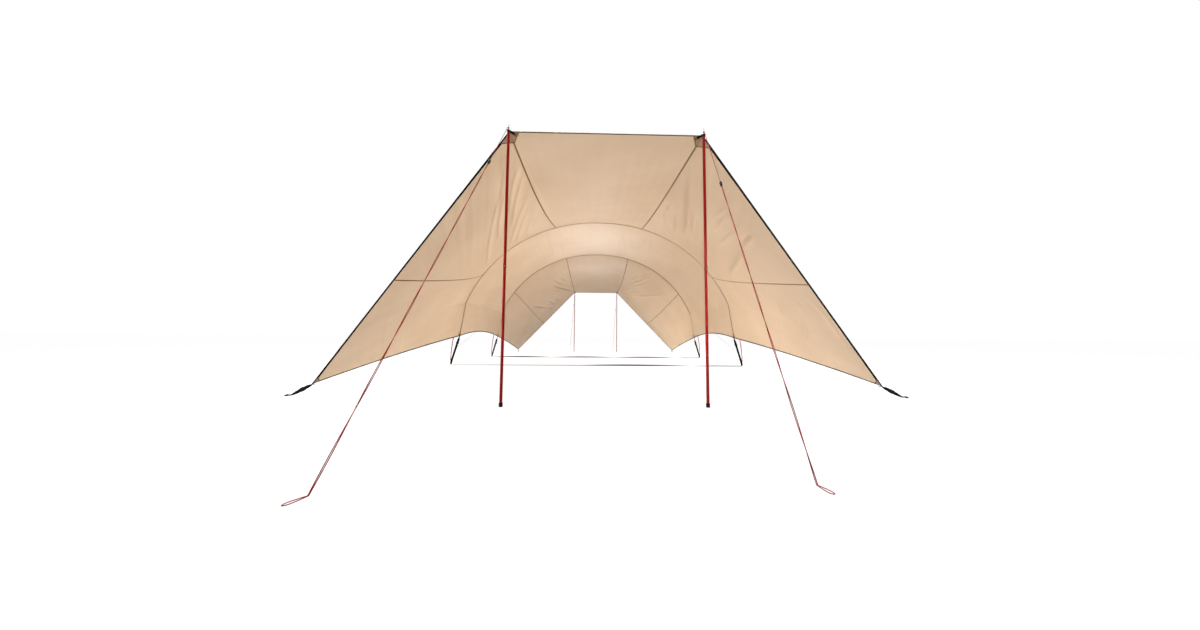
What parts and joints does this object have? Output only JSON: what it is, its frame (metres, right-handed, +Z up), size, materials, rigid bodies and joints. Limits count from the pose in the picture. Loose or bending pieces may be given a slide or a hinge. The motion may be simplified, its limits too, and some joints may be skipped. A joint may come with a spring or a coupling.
{
  "type": "tunnel sun shelter",
  "caption": "Open-ended tunnel sun shelter: sand cotton canopy over two bent-pole hoops, its wings raised on straight uprights and held down by guy lines and webbing straps.",
  "frame": {"origin": "on the ground in the middle of the shelter", "axes": "+Z up, +Y along the tunnel from the front end to the rear end, +X to the right seen from the front"},
  "size_m": [6.523, 10.0064, 2.2638],
  "materials": {
    "sand_cotton": "proofed cotton blend, matt, fine plain weave",
    "sleeve_cotton": "proofed cotton blend, matt, doubled and stitched",
    "black_webbing": "woven webbing, matt, ribbed across",
    "red_anodised": "dark red anodised tube, satin",
    "black_rubber": "moulded, matt",
    "maroon_line": "braided line",
    "pale_line": "thin braided line"
  },
  "bodies": {
    "root": {"tunnel_band": "sand_cotton", "front_roof_panel": "sand_cotton", "front_hoop_pole": "red_anodised", "front_hoop_sleeve": "sleeve_cotton", "front_ground_strap": "black_webbing", "front_left_upper_panel": "sand_cotton", "front_left_lower_panel": "sand_cotton", "front_left_edge_webbing": "black_webbing", "front_left_top_tab": "black_webbing", "front_left_upright": "red_anodised", "front_left_upright_foot": "black_rubber", "front_left_corner_strap": "black_webbing", "front_left_guy": "maroon_line", "front_hoop_left_foot_strap": "black_webbing", "front_hoop_left_guy": "pale_line", "front_right_upper_panel": "sand_cotton", "front_right_lower_panel": "sand_cotton", "front_right_edge_webbing": "black_webbing", "front_right_top_tab": "black_webbing", "front_right_upright": "red_anodised", "front_right_upright_foot": "black_rubber", "front_right_corner_strap": "black_webbing", "front_right_guy": "maroon_line", "front_hoop_right_foot_strap": "black_webbing", "front_hoop_right_guy": "pale_line", "rear_roof_panel": "sand_cotton", "rear_hoop_pole": "red_anodised", "rear_hoop_sleeve": "sleeve_cotton", "rear_ground_strap": "black_webbing", "rear_left_upper_panel": "sand_cotton", "rear_left_lower_panel": "sand_cotton", "rear_left_edge_webbing": "black_webbing", "rear_left_top_tab": "black_webbing", "rear_left_upright": "red_anodised", "rear_left_upright_foot": "black_rubber", "rear_left_corner_strap": "black_webbing", "rear_left_guy": "maroon_line", "rear_hoop_left_foot_strap": "black_webbing", "rear_hoop_left_guy": "pale_line", "rear_right_upper_panel": "sand_cotton", "rear_right_lower_panel": "sand_cotton", "rear_right_edge_webbing": "black_webbing", "rear_right_top_tab": "black_webbing", "rear_right_upright": "red_anodised", "rear_right_upright_foot": "black_rubber", "rear_right_corner_strap": "black_webbing", "rear_right_guy": "maroon_line", "rear_hoop_right_foot_strap": "black_webbing", "rear_hoop_right_guy": "pale_line"}
  },
  "joints": []
}
